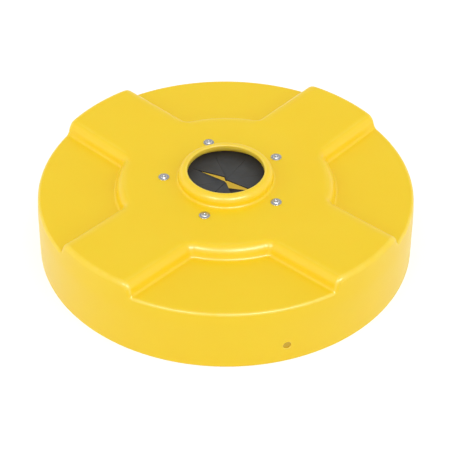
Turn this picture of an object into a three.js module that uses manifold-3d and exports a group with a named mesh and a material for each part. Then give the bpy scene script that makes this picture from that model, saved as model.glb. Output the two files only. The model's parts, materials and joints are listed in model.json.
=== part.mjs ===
// Drum cover with a self-closing hose port: a moulded polyethylene lid whose raised
// cross leaves four sunk pockets, and a slit rubber diaphragm riveted under its centre.
// Millimetres, +Z up. The origin is the centre of the skirt's lower edge.

import * as THREE from 'three';
import { mergeVertices } from 'three/addons/utils/BufferGeometryUtils.js';
import Module from 'manifold-3d';

const wasm = await Module();
wasm.setup();

// ---- Driving dimensions ---------------------------------------------------------

// Lid shell
const BASE_RADIUS = 330; // outside of the skirt at its lower edge
const DECK_HEIGHT = 133; // flat middle of the raised cross above the lower edge
const DISH_RADIUS = 165; // edge of that flat middle
const ARM_RISE = 5; // the arms climb this much from there to the rim
const WALL = 4; // moulded skin, the same everywhere
const SKIRT_DRAFT = 1.4; // how far the skirt leans in over the deck height
const SHOULDER_HEIGHT = 88; // where the skirt starts to lean in towards the deck
const SHOULDER_LEAN = 0.06; // further lean above that, sideways per unit of height
const RIM_ROUND = 8; // round between skirt and deck at the arms' ends

// Raised cross and the pockets between its arms
const HUB_RADIUS = 186; // round middle of the cross, at deck level
const ARM_HALF_WIDTH = 76.5; // half of an arm's parallel-sided top
const EDGE_BEVEL = 6; // bevel along the cross's upper edges, measured across the deck
const POCKET_DEPTH_INNER = 22; // floor below the deck at the hub wall
const POCKET_DEPTH_OUTER = 19; // floor below the deck at the rim
const WALL_SLOPE = 0.31; // lean of the pocket walls, sideways per unit of depth
const POCKET_RIM_ROUND = 0.5; // round under the skin between pocket floor and skirt
const POCKET_COUNT = 4;

// Rolled collar around the port
const PORT_RADIUS = 67; // clear opening inside the lip
const COLLAR_HEIGHT = 22; // top of the collar above the deck
const COLLAR_DOME = 12.5; // outside round from the collar's flank to its top
const MOUTH_ROUND = 3; // outside round from the collar's top into the port
const LIP_HEIGHT = 11; // lip's lower edge above the deck
const COLLAR_FOOT_ROUND = 5.5; // hollow round where the collar rises from the deck

// Slit rubber diaphragm
const RUBBER_THICKNESS = 2.5;
const FLAP_COUNT = 8;
const SLIT_OVERRUN = 1; // how far each slit runs on under the lip
const SLIT_WIDTH = 0.7;
const FIRST_SLIT_AZIMUTH = 12.4; // degrees from +X
const HINGE_CLEARANCE = 0.3; // around the round root of each flap
const ROOT_RELIEF = 0.8; // taken off each end of a flap's root so neighbours pass
const RUBBER_MARGIN = 17; // rubber outside the rivet circle
const FLAP_SAG = [-1.5, 0.5, -8, 3, 3, 3.5, 16, -2.5]; // rest angle below flat, degrees

// Blind rivets and their backing washers
const RIVET_COUNT = 5;
const FIRST_RIVET_AZIMUTH = 176.1; // degrees from +X
const RIVET_LAND = 10.5; // flat deck between the collar's foot and a rivet's flange
const FLANGE_RADIUS = 9.5;
const FLANGE_EDGE = 0.9; // thickness of the flat flange
const BOSS_RADIUS = 4.9; // raised middle of the head
const BOSS_HEIGHT = 1.5; // rise of that middle above the flange
const SHANK_RADIUS = 3.2;
const RIVET_BORE_RADIUS = 1.9;
const MANDREL_RECESS = 1; // broken end of the mandrel below the top of the head
const BULB_RADIUS = 4.9; // set end on the blind side
const BULB_LENGTH = 4.6;
const MANDREL_HEAD_RADIUS = 3;
const MANDREL_HEAD_LENGTH = 2.6;
const WASHER_RADIUS = 8;
const WASHER_THICKNESS = 1.6;

// Tether hole through the skirt
const TETHER_HOLE_RADIUS = 7;
const TETHER_HOLE_HEIGHT = 34;
const TETHER_HOLE_AZIMUTH = -74.7; // degrees from +X

// Clearances
const SEAT_GAP = 0.3; // between faces that rest on each other
const HOLE_CLEARANCE = 0.3; // shank in its holes, and mandrel in the shank

// Facets
const SHELL_SEGMENTS = 72;
const ROUND_STEPS = 4; // steps in each quarter round of the shell
const RIVET_SEGMENTS = 16;
const BORE_SEGMENTS = 16;

// ---- Derived places -------------------------------------------------------------

const degrees = (value) => THREE.MathUtils.degToRad(value);
const level = (slope) => Math.hypot(1, slope); // level distance across a sloping skin
const bevelSlope = Math.tan((Math.PI / 2 + Math.atan(WALL_SLOPE)) / 2);
const shoulderAngle = THREE.MathUtils.radToDeg(Math.atan(SHOULDER_LEAN));
const domeRadius = PORT_RADIUS + MOUTH_ROUND; // centre of the collar's outside round
const domeHeight = DECK_HEIGHT + COLLAR_HEIGHT - COLLAR_DOME;
const rimHeight = DECK_HEIGHT + ARM_RISE;
const above = rimHeight + WALL; // clear of the whole cross
const collarFoot = domeRadius + COLLAR_DOME + COLLAR_FOOT_ROUND;
const rivetCircle = collarFoot + RIVET_LAND + FLANGE_RADIUS;
const rubberRadius = rivetCircle + RUBBER_MARGIN;
const rubberTop = DECK_HEIGHT - WALL - SEAT_GAP;
const rubberMiddle = rubberTop - RUBBER_THICKNESS / 2;
const washerTop = rubberTop - RUBBER_THICKNESS - SEAT_GAP;
const halfSector = Math.PI / FLAP_COUNT;
const slitReach = PORT_RADIUS + SLIT_OVERRUN;
const hingeRadius = slitReach * Math.cos(halfSector);
const holeRadius = SHANK_RADIUS + HOLE_CLEARANCE;

function skirtRadiusAt(height) {
  const lean = SHOULDER_LEAN * Math.max(0, height - SHOULDER_HEIGHT);
  return BASE_RADIUS - (SKIRT_DRAFT * height) / DECK_HEIGHT - lean;
}

// ---- Solids: from three.js geometry to manifold and back ---------------------------

function solidFrom(geometry) {
  geometry.deleteAttribute('normal');
  geometry.deleteAttribute('uv');
  const merged = mergeVertices(geometry);
  const corners = merged.index.array;
  const kept = [];
  for (let i = 0; i < corners.length; i += 3) {
    const [a, b, c] = corners.slice(i, i + 3);
    if (a !== b && b !== c && c !== a) kept.push(a, b, c);
  }
  return new wasm.Manifold(new wasm.Mesh({
    numProp: 3,
    vertProperties: new Float32Array(merged.attributes.position.array),
    triVerts: new Uint32Array(kept),
  }));
}

function geometryFrom(solid) {
  const mesh = solid.getMesh();
  const geometry = new THREE.BufferGeometry();
  geometry.setAttribute('position', new THREE.BufferAttribute(mesh.vertProperties, 3));
  geometry.setIndex(new THREE.BufferAttribute(mesh.triVerts, 1));
  geometry.computeVertexNormals();
  return geometry;
}

// A solid of revolution about +Z. The profile is a closed outline of [radius, height]
// points, walked so that the solid lies on its left.
function turned(profile, segments) {
  const closed = [...profile, profile[0]];
  const points = closed.map(([radius, height]) => new THREE.Vector2(radius, height));
  const geometry = new THREE.LatheGeometry(points, segments);
  geometry.rotateX(Math.PI / 2);
  return solidFrom(geometry);
}

// Points on a round about [radius, height] of an outline, between two angles in degrees.
function roundAt([radius, height], size, from, to, steps) {
  const points = [];
  for (let i = 0; i <= steps; i += 1) {
    const angle = degrees(from + ((to - from) * i) / steps);
    points.push([radius + size * Math.cos(angle), height + size * Math.sin(angle)]);
  }
  return points;
}

function cylinderAlongZ(radius, bottom, top, segments) {
  const geometry = new THREE.CylinderGeometry(radius, radius, top - bottom, segments);
  geometry.rotateX(Math.PI / 2);
  geometry.translate(0, 0, (bottom + top) / 2);
  return geometry;
}

// ---- Lid shell --------------------------------------------------------------------

// Centre of a round that touches a level face from below and the leaning shoulder.
function rimCentre(levelHeight, round) {
  const height = levelHeight - round;
  return [skirtRadiusAt(height) - round * level(SHOULDER_LEAN), height];
}

// Outside of the lid from the skirt's lower edge over the rim to the collar's lip, or
// the same line moved inwards by the skin's thickness.
function skinLine(inset) {
  const shoulderDrop = inset * Math.tan(degrees(shoulderAngle / 2));
  const footCentre = [collarFoot, DECK_HEIGHT + COLLAR_FOOT_ROUND];
  const dome = COLLAR_DOME - inset;
  const line = [
    [skirtRadiusAt(0) - inset, 0],
    [skirtRadiusAt(SHOULDER_HEIGHT) - inset, SHOULDER_HEIGHT - shoulderDrop],
    ...roundAt(rimCentre(rimHeight, RIM_ROUND), RIM_ROUND - inset, shoulderAngle, 90,
      ROUND_STEPS),
    [DISH_RADIUS, DECK_HEIGHT - inset],
    [collarFoot, DECK_HEIGHT - inset],
    ...roundAt(footCentre, COLLAR_FOOT_ROUND + inset, 270, 180, ROUND_STEPS).slice(1),
  ];
  const lip = [PORT_RADIUS + inset, DECK_HEIGHT + LIP_HEIGHT];
  if (inset < MOUTH_ROUND) {
    const mouthCentre = [domeRadius, DECK_HEIGHT + COLLAR_HEIGHT - MOUTH_ROUND];
    line.push(...roundAt([domeRadius, domeHeight], dome, 0, 90, ROUND_STEPS));
    line.push(...roundAt(mouthCentre, MOUTH_ROUND, 90, 180, ROUND_STEPS).slice(1));
  } else {
    const end = Math.acos((PORT_RADIUS + inset - domeRadius) / dome);
    line.push(...roundAt([domeRadius, domeHeight], dome, 0,
      THREE.MathUtils.radToDeg(end), ROUND_STEPS));
  }
  return [...line, lip];
}

// Section of a pocket's wall as [distance outside the cross's edge, height] points from
// its floor up past the deck: the wall and the bevel above it. With growth, both faces
// and the floor move out by the skin's thickness.
function wallLine(floor, growth) {
  const wallShift = growth * WALL * level(WALL_SLOPE);
  const bevelShift = growth * WALL * level(bevelSlope);
  const bevelDepth = (EDGE_BEVEL + bevelShift - wallShift) / (bevelSlope - WALL_SLOPE);
  const wallAt = (height) => (DECK_HEIGHT - height) * WALL_SLOPE - wallShift;
  return [
    [wallAt(floor), floor],
    [wallAt(DECK_HEIGHT - bevelDepth), DECK_HEIGHT - bevelDepth],
    [(DECK_HEIGHT - above) * bevelSlope - EDGE_BEVEL - bevelShift, above],
  ];
}

// Space above a pocket floor as a full ring, before it is cut to one pocket's plan.
function pocketRing(growth) {
  const outside = BASE_RADIUS + WALL;
  const innerFloor = DECK_HEIGHT - POCKET_DEPTH_INNER - growth * WALL;
  const wall = wallLine(innerFloor, growth);
  const outerRound = POCKET_RIM_ROUND + WALL;
  const centre = rimCentre(DECK_HEIGHT - POCKET_DEPTH_OUTER, outerRound);
  const edge = roundAt(centre, outerRound - growth * WALL, 90, shoulderAngle, ROUND_STEPS);
  return turned([
    ...wall.reverse().map(([out, height]) => [HUB_RADIUS + out, height]),
    ...edge,
    [outside, edge[ROUND_STEPS][1]],
    [outside, above],
  ], SHELL_SEGMENTS);
}

// Plan of one pocket: a square pyramid stump with a corner towards the centre, so two
// of its sides run parallel to the neighbouring arms and lean like the hub wall.
function pocketPlan(growth) {
  const bottom = DECK_HEIGHT - POCKET_DEPTH_OUTER - POCKET_RIM_ROUND - 3 * WALL;
  const middle = BASE_RADIUS + 4 * WALL;
  const sides = wallLine(bottom, growth).map(([out, height]) => {
    return [middle - (ARM_HALF_WIDTH + out) * Math.SQRT2, height];
  });
  return turned([[0, bottom], ...sides, [0, above]], 4).translate([middle, 0, 0]);
}

function allPockets(growth) {
  const pocket = pocketRing(growth).intersect(pocketPlan(growth));
  let pockets = pocket;
  for (let k = 1; k < POCKET_COUNT; k += 1) {
    pockets = pockets.add(pocket.rotate([0, 0, (360 / POCKET_COUNT) * k]));
  }
  return pockets;
}

function tetherHole() {
  const geometry = new THREE.CylinderGeometry(
    TETHER_HOLE_RADIUS, TETHER_HOLE_RADIUS, 6 * WALL, 2 * BORE_SEGMENTS);
  geometry.rotateZ(Math.PI / 2);
  geometry.translate(skirtRadiusAt(TETHER_HOLE_HEIGHT), 0, TETHER_HOLE_HEIGHT);
  geometry.rotateZ(degrees(TETHER_HOLE_AZIMUTH));
  return solidFrom(geometry);
}

function rivetHole(azimuth) {
  const geometry = cylinderAlongZ(
    holeRadius, DECK_HEIGHT - 3 * WALL, DECK_HEIGHT + WALL, BORE_SEGMENTS);
  geometry.translate(rivetCircle, 0, 0);
  geometry.rotateZ(azimuth);
  return solidFrom(geometry);
}

function lidShell() {
  const skin = turned([...skinLine(0), ...skinLine(WALL).reverse()], SHELL_SEGMENTS);
  const filled = turned([[0, 0], ...skinLine(0).slice(0, ROUND_STEPS + 4), [0, DECK_HEIGHT]],
    SHELL_SEGMENTS);
  let shell = skin.add(allPockets(1).intersect(filled)).subtract(allPockets(0));
  shell = shell.subtract(tetherHole());
  for (const azimuth of rivetAzimuths()) {
    shell = shell.subtract(rivetHole(azimuth));
  }
  return geometryFrom(shell);
}

// ---- Rubber diaphragm ---------------------------------------------------------------

// The clamped border: a flat washer of rubber with an eight-sided opening whose sides
// are the lines the flaps bend along.
function diaphragmRing() {
  const outline = new THREE.Shape().absarc(0, 0, rubberRadius, 0, 2 * Math.PI);
  const apothem = hingeRadius + RUBBER_THICKNESS / 2 + HINGE_CLEARANCE;
  const corners = [];
  for (let k = 0; k < FLAP_COUNT; k += 1) {
    const azimuth = degrees(FIRST_SLIT_AZIMUTH) + 2 * halfSector * k;
    const reach = apothem / Math.cos(halfSector);
    corners.push(new THREE.Vector2(reach * Math.cos(azimuth), reach * Math.sin(azimuth)));
  }
  outline.holes.push(new THREE.Path(corners));
  const geometry = new THREE.ExtrudeGeometry(outline, {
    depth: RUBBER_THICKNESS, bevelEnabled: false, curveSegments: SHELL_SEGMENTS,
  });
  geometry.translate(0, 0, rubberTop - RUBBER_THICKNESS);
  let ring = solidFrom(geometry);
  for (const azimuth of rivetAzimuths()) {
    ring = ring.subtract(rivetHole(azimuth));
  }
  return geometryFrom(ring);
}

// One flap, lying flat, with its hinge line through the origin along Y and its tip
// towards -X. Its root is a half round about the hinge line.
function flapGeometry() {
  const half = RUBBER_THICKNESS / 2;
  const section = new THREE.Shape();
  section.moveTo(-hingeRadius, -half);
  section.lineTo(0, -half);
  section.absarc(0, 0, half, -Math.PI / 2, Math.PI / 2);
  section.lineTo(-hingeRadius, half);
  const strip = new THREE.ExtrudeGeometry(section, {
    depth: 2 * slitReach, bevelEnabled: false, curveSegments: ROUND_STEPS,
  });
  strip.translate(0, 0, -slitReach);
  strip.rotateX(Math.PI / 2);
  const slitInset = SLIT_WIDTH / 2;
  const tip = -hingeRadius + slitInset / Math.sin(halfSector);
  const rootHalf = -tip * Math.tan(halfSector) - ROOT_RELIEF;
  const shoulder = tip + rootHalf / Math.tan(halfSector);
  const plan = new THREE.Shape([
    new THREE.Vector2(tip, 0),
    new THREE.Vector2(shoulder, -rootHalf),
    new THREE.Vector2(RUBBER_THICKNESS, -rootHalf),
    new THREE.Vector2(RUBBER_THICKNESS, rootHalf),
    new THREE.Vector2(shoulder, rootHalf),
  ]);
  const wedge = new THREE.ExtrudeGeometry(plan, {
    depth: 2 * RUBBER_THICKNESS, bevelEnabled: false,
  });
  wedge.translate(0, 0, -RUBBER_THICKNESS);
  return geometryFrom(solidFrom(strip).intersect(solidFrom(wedge)));
}

// ---- Blind rivets, their mandrels and washers -------------------------------------------

function rivetAzimuths() {
  const azimuths = [];
  for (let k = 0; k < RIVET_COUNT; k += 1) {
    azimuths.push(degrees(FIRST_RIVET_AZIMUTH) + (2 * Math.PI * k) / RIVET_COUNT);
  }
  return azimuths;
}

const flangeBottom = DECK_HEIGHT + SEAT_GAP;
const headTop = flangeBottom + FLANGE_EDGE + BOSS_HEIGHT;
const bulbTop = washerTop - WASHER_THICKNESS - SEAT_GAP;
const bulbBottom = bulbTop - BULB_LENGTH;

// A set rivet: wide flange with a raised middle, hollow shank and the bulb pulled up
// behind.
function rivetGeometry() {
  const boss = [];
  for (let i = 0; i <= ROUND_STEPS; i += 1) {
    const angle = (i / ROUND_STEPS) * (Math.PI / 2);
    const radius = RIVET_BORE_RADIUS + (BOSS_RADIUS - RIVET_BORE_RADIUS) * Math.cos(angle);
    boss.push([radius, headTop - BOSS_HEIGHT * (1 - Math.sin(angle))]);
  }
  return geometryFrom(turned([
    [RIVET_BORE_RADIUS, bulbBottom],
    [SHANK_RADIUS, bulbBottom],
    [BULB_RADIUS, bulbBottom + 0.35 * BULB_LENGTH],
    [BULB_RADIUS, bulbBottom + 0.65 * BULB_LENGTH],
    [SHANK_RADIUS, bulbTop],
    [SHANK_RADIUS, flangeBottom],
    [FLANGE_RADIUS, flangeBottom],
    [FLANGE_RADIUS, flangeBottom + FLANGE_EDGE],
    ...boss,
  ], RIVET_SEGMENTS));
}

// The broken mandrel left inside: a pin in the bore and its head behind the bulb.
function mandrelGeometry() {
  const pinRadius = RIVET_BORE_RADIUS - HOLE_CLEARANCE;
  const seat = bulbBottom - SEAT_GAP;
  return geometryFrom(turned([
    [0, seat - MANDREL_HEAD_LENGTH],
    [0.6 * MANDREL_HEAD_RADIUS, seat - 0.85 * MANDREL_HEAD_LENGTH],
    [MANDREL_HEAD_RADIUS, seat - 0.4 * MANDREL_HEAD_LENGTH],
    [MANDREL_HEAD_RADIUS, seat],
    [pinRadius, seat],
    [pinRadius, headTop - MANDREL_RECESS],
    [0, headTop - MANDREL_RECESS],
  ], RIVET_SEGMENTS));
}

function washerGeometry() {
  const bottom = washerTop - WASHER_THICKNESS;
  return geometryFrom(turned([
    [holeRadius, bottom],
    [WASHER_RADIUS, bottom],
    [WASHER_RADIUS, washerTop],
    [holeRadius, washerTop],
  ], RIVET_SEGMENTS));
}

// ---- Assembly ---------------------------------------------------------------------------

function material(color, roughness, metalness) {
  return new THREE.MeshStandardMaterial({ color, roughness, metalness, flatShading: true });
}

function part(name, geometry, finish) {
  const mesh = new THREE.Mesh(geometry, finish);
  mesh.name = name;
  return mesh;
}

const cover = new THREE.Group();
cover.add(part('lid_shell', lidShell(), material(0xf7d134, 0.42, 0)));
cover.add(part('diaphragm_ring', diaphragmRing(), material(0x454649, 0.7, 0)));

for (let k = 0; k < FLAP_COUNT; k += 1) {
  const flap = part(`flap_${k + 1}`, flapGeometry(), material(0x48494c, 0.7, 0));
  flap.rotation.y = -degrees(FLAP_SAG[k]);
  const hinge = new THREE.Group();
  hinge.position.set(hingeRadius, 0, rubberMiddle);
  hinge.add(flap);
  const sector = new THREE.Group();
  sector.rotation.z = degrees(FIRST_SLIT_AZIMUTH) + halfSector * (2 * k + 1);
  sector.add(hinge);
  cover.add(sector);
}

rivetAzimuths().forEach((azimuth, k) => {
  const station = new THREE.Group();
  station.rotation.z = azimuth;
  const pieces = [
    part(`rivet_${k + 1}`, rivetGeometry(), material(0xc9cbce, 0.35, 1)),
    part(`rivet_mandrel_${k + 1}`, mandrelGeometry(), material(0x85888c, 0.45, 1)),
    part(`backing_washer_${k + 1}`, washerGeometry(), material(0xb4b7ba, 0.4, 1)),
  ];
  for (const piece of pieces) {
    piece.position.x = rivetCircle;
    station.add(piece);
  }
  cover.add(station);
});

export default cover;
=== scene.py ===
# %% [markdown]
# # Drum cover with a self-closing hose port
# A round lid moulded in yellow polyethylene. Its raised cross leaves four sunk pockets, a
# domed collar rings the port in the middle, and a slit rubber diaphragm hangs under the
# port on five blind rivets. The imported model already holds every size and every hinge, so
# this file only makes the fine surfaces, the finishes, the light and the camera around it.

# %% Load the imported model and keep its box
import json
import math

import bpy
import numpy as np
from mathutils import Matrix, Vector


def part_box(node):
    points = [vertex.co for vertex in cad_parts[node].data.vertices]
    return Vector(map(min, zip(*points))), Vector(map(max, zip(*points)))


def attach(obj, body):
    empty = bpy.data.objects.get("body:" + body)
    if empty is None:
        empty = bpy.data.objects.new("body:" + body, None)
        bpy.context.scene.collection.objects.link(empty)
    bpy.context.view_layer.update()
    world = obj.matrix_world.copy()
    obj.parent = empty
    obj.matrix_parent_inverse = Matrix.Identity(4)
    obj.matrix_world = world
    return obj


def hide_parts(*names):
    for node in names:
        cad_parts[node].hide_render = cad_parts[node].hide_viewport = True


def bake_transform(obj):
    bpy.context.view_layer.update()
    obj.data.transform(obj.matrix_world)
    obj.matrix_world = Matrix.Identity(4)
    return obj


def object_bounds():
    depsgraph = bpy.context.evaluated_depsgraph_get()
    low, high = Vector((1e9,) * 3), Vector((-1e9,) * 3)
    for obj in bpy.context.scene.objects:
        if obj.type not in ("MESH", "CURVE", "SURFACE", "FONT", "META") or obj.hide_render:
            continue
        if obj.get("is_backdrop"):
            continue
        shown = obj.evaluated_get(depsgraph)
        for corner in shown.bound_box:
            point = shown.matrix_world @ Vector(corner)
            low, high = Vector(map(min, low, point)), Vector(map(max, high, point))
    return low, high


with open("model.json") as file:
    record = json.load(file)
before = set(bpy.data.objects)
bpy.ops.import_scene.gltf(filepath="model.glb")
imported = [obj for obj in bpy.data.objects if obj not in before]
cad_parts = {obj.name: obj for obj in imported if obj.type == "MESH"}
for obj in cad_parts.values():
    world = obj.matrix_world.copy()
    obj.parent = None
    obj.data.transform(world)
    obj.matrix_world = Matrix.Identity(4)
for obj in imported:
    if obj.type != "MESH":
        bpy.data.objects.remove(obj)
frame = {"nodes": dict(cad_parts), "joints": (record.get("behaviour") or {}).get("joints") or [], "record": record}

MM = 0.001
cad_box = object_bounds()
scene = bpy.context.scene

# %% [markdown]
# ## Camera
# A product camera stands about 2.8 m away with a long lens, so the round lid keeps its
# shape and hardly narrows towards the back. The lid is turned a few degrees on the floor,
# and here the camera goes round it instead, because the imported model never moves. A track
# constraint could aim it, but a plain matrix also takes the small roll of a hand-set tripod.

# %% Make the camera
VIEW_AZIMUTH = math.radians(-2.57)
VIEW_ELEVATION = math.radians(39.71)
VIEW_ROLL = math.radians(0.30)
VIEW_DISTANCE = 2.838
SENSOR_WIDTH = 36.0
FOCAL_LENGTH = 126.56
AIM_POINT = Vector((-0.5, 13.6, 16.3)) * MM


def make_camera():
    sight = Vector((
        -math.sin(VIEW_AZIMUTH) * math.cos(VIEW_ELEVATION),
        math.cos(VIEW_AZIMUTH) * math.cos(VIEW_ELEVATION),
        -math.sin(VIEW_ELEVATION),
    ))
    data = bpy.data.cameras.new("product_camera")
    data.sensor_width = SENSOR_WIDTH
    data.lens = FOCAL_LENGTH
    camera = bpy.data.objects.new("product_camera", data)
    scene.collection.objects.link(camera)
    aim = sight.to_track_quat("-Z", "Y").to_matrix().to_4x4()
    camera.matrix_world = (
        Matrix.Translation(AIM_POINT - sight * VIEW_DISTANCE)
        @ aim @ Matrix.Rotation(VIEW_ROLL, 4, "Z")
    )
    scene.camera = camera
    return camera


camera = make_camera()
print("camera stands at", tuple(round(v, 3) for v in camera.matrix_world.translation))

# %% [markdown]
# ## Sizes
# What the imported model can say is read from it: the lid's box, the deck's height from the
# flat face that it names, the rubber and the rivets from their own boxes. The skin's
# thickness and the rounds are the ones that a rotational mould leaves, so they are set here.

# %% Read the sizes
_, lid_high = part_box("lid_shell")
ring_low, ring_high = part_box("diaphragm_ring")
faces = {mount["name"]: mount["pos_m"] for mount in frame["record"]["mounts"]}

BASE_RADIUS = lid_high.x
DECK = faces["deck_top"][2]
WALL = 4 * MM
COLLAR_TOP = lid_high.z
RUBBER_TOP = ring_high.z
RUBBER_THICKNESS = ring_high.z - ring_low.z
RUBBER_RADIUS = ring_high.x

SKIRT_DRAFT = 1.4 * MM
SHOULDER_HEIGHT = 88 * MM
DISH_RADIUS = 165 * MM
ARM_RISE = 5 * MM
SHOULDER_LEAN = 0.06
SHOULDER_BLEND = 9 * MM
HUB_RADIUS = 186 * MM
ARM_HALF_WIDTH = 76.5 * MM
FLOOR_DEPTH_INNER = 22 * MM
FLOOR_DEPTH_OUTER = 19 * MM
WALL_SLOPE = 0.31
RIM_ROUND = 8 * MM
POCKET_RIM_ROUND = 4.5 * MM
EDGE_ROUND = 12 * MM
ARM_BLEND = 6 * MM
FOOT_ROUND = 3.5 * MM
CORNER_ROUND = 6 * MM
LIP_ROUND = 0.8 * MM

PORT_RADIUS = 67 * MM
COLLAR_DOME = 12.5 * MM
MOUTH_ROUND = 3 * MM
LIP_HEIGHT = 11 * MM
COLLAR_FOOT_ROUND = 5.5 * MM
dome_radius = PORT_RADIUS + MOUTH_ROUND
dome_height = COLLAR_TOP - COLLAR_DOME
lip_edge = DECK + LIP_HEIGHT
collar_foot = dome_radius + COLLAR_DOME + COLLAR_FOOT_ROUND
hub_foot = HUB_RADIUS + FLOOR_DEPTH_INNER * WALL_SLOPE
print(f"lid {2 * BASE_RADIUS / MM:.0f} mm across, deck at {DECK / MM:.0f} mm")

# %% [markdown]
# ## The lid's surface as a rule
# Every edge of a moulded lid is a round, and rounds meet at corners where three of them
# run together. Bevelling a boolean would leave those corners to chance. Instead the
# surface is a rule: a function that says how far a point lies outside the lid, joined from
# plain walls with a rounded maximum. Any point can then be slid onto the surface, and the
# underside is the same rule one skin's thickness deeper, so the wall comes out even.

# %% The rule and how a point slides onto it
def rounded_max(a, b, radius):
    """Where both walls are near, their corner becomes an arc of that radius."""
    both = np.hypot(np.maximum(a + radius, 0), np.maximum(b + radius, 0))
    return np.minimum(-radius, np.maximum(a, b)) + both


def floor_depth(r):
    """Depth of the pocket floor below the deck, a little less at the rim."""
    share = (r - hub_foot) / (BASE_RADIUS - RIM_ROUND - hub_foot)
    return FLOOR_DEPTH_INNER + (FLOOR_DEPTH_OUTER - FLOOR_DEPTH_INNER) * share


def deck_top(r):
    """Flat in the middle, then climbing evenly along the arms to the rim."""
    share = (r - DISH_RADIUS) / (BASE_RADIUS - RIM_ROUND - DISH_RADIUS)
    return DECK + ARM_RISE * np.clip(share, 0, 1)


def arm_distance(x, y):
    """Sideways distance from the middle line of the nearest arm."""
    return np.abs(np.abs(x) - np.abs(y)) / math.sqrt(2)


def skirt_radius(z):
    """Upright up to the shoulder, then leaning in, with a soft bend between the two."""
    past = z - SHOULDER_HEIGHT
    soft = np.clip(past + SHOULDER_BLEND, 0, 2 * SHOULDER_BLEND) ** 2 / (4 * SHOULDER_BLEND)
    lean = soft + np.maximum(past - SHOULDER_BLEND, 0)
    return BASE_RADIUS - SKIRT_DRAFT * z / DECK - SHOULDER_LEAN * lean


def lid_distance(points):
    """How far each point lies outside the lid: the one rule for both of its faces."""
    x, y, z = points.T
    r = np.hypot(x, y)
    lean = math.hypot(1, WALL_SLOPE)
    below = DECK - z
    hub_wall = (HUB_RADIUS + below * WALL_SLOPE - r) / lean
    side_wall = (ARM_HALF_WIDTH + below * WALL_SLOPE - arm_distance(x, y)) / lean
    walls = rounded_max(hub_wall, side_wall, CORNER_ROUND)
    pocket = rounded_max(walls, below - floor_depth(r), FOOT_ROUND)
    top = rounded_max(z - deck_top(r), -pocket, EDGE_ROUND)
    lying = np.where(z > SHOULDER_HEIGHT, math.hypot(1, SHOULDER_LEAN), 1)
    on_arm = np.clip((ARM_HALF_WIDTH + ARM_BLEND - arm_distance(x, y)) / (2 * ARM_BLEND), 0, 1)
    rim_round = POCKET_RIM_ROUND + (RIM_ROUND - POCKET_RIM_ROUND) * on_arm
    return rounded_max(top, (r - skirt_radius(z)) / lying, rim_round)


def slope_of(points, step=0.02 * MM):
    slopes = []
    for axis in np.eye(3):
        ahead = lid_distance(points + step * axis)
        behind = lid_distance(points - step * axis)
        slopes.append((ahead - behind) / (2 * step))
    return np.stack(slopes, axis=-1)


def slide_to(points, depth, rounds=10):
    """Moves each point along the rule's slope until it lies at that depth in the skin."""
    for _ in range(rounds):
        slope = slope_of(points)
        steepness = np.maximum((slope ** 2).sum(axis=1), 0.2)
        points = points - slope * ((lid_distance(points) + depth) / steepness)[:, None]
    return points


# %% [markdown]
# ## The grid that is slid onto the rule
# A sheet of quads follows the lid best when its lines run along the lid's own edges. Its
# rows are rings: up the skirt, over the rim, across the top and over the collar. Its
# columns fan out in the pockets and run side by side along the arms, and they crowd
# together at every wall, where the rounds need them.

# %% Columns of the grid
STATION = 1.5 * MM
shoulder_stations = STATION * np.arange(6, 0, -1)
foot_stations = STATION * np.arange(1, 5)
wall_shares = np.linspace(0, 1, 8)
ARM_COLUMNS = 6
POCKET_COLUMNS = 22
FAN_RADIUS = HUB_RADIUS - 6 * STATION

TETHER_AZIMUTH = math.radians(-74.7)
TETHER_HEIGHT = 34 * MM
TETHER_RADIUS = 7 * MM
PATCH_CELL = 3 * MM
PATCH_CELLS = 8
patch_steps = PATCH_CELL * (np.arange(PATCH_CELLS + 1) - PATCH_CELLS / 2)


def half_sector(r):
    """Azimuths from an arm's middle line into the pocket beside it, at one radius."""
    arm = np.linspace(0, ARM_HALF_WIDTH - shoulder_stations[0], ARM_COLUMNS, endpoint=False)
    foot = ARM_HALF_WIDTH + floor_depth(max(r, hub_foot)) * WALL_SLOPE
    wall = ARM_HALF_WIDTH + wall_shares * (foot - ARM_HALF_WIDTH)
    sideways = np.concatenate([
        arm, ARM_HALF_WIDTH - shoulder_stations, wall, foot + foot_stations])
    return np.arcsin(sideways / r)


def pocket_shares(sector):
    """Where the columns inside one pocket stand, as shares of the pocket's width."""
    shares = np.arange(1, POCKET_COLUMNS + 1) / (POCKET_COLUMNS + 1)
    if sector != 3:
        return shares
    edge = math.pi / 4 - half_sector(BASE_RADIUS)[-1]
    tether = TETHER_AZIMUTH + math.pi / 2 + patch_steps / BASE_RADIUS
    wanted = (tether + edge) / (2 * edge)
    margin = (wanted[1] - wanted[0]) / 2
    clear = (shares < wanted[0] - margin) | (shares > wanted[-1] + margin)
    return np.sort(np.concatenate([shares[clear], wanted]))


def azimuths_at(r):
    """Azimuth of every column at one radius. Inside the fan they run straight inwards."""
    side = half_sector(max(r, FAN_RADIUS))
    edge = math.pi / 4 - side[-1]
    sectors = []
    for sector in range(4):
        inside = edge * (2 * pocket_shares(sector) - 1)
        local = np.concatenate([side - math.pi / 4, inside, (math.pi / 4 - side[1:])[::-1]])
        sectors.append(local + sector * math.pi / 2)
    return np.concatenate(sectors)


column_count = len(azimuths_at(BASE_RADIUS))
print("columns in the lid's grid:", column_count)

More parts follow.
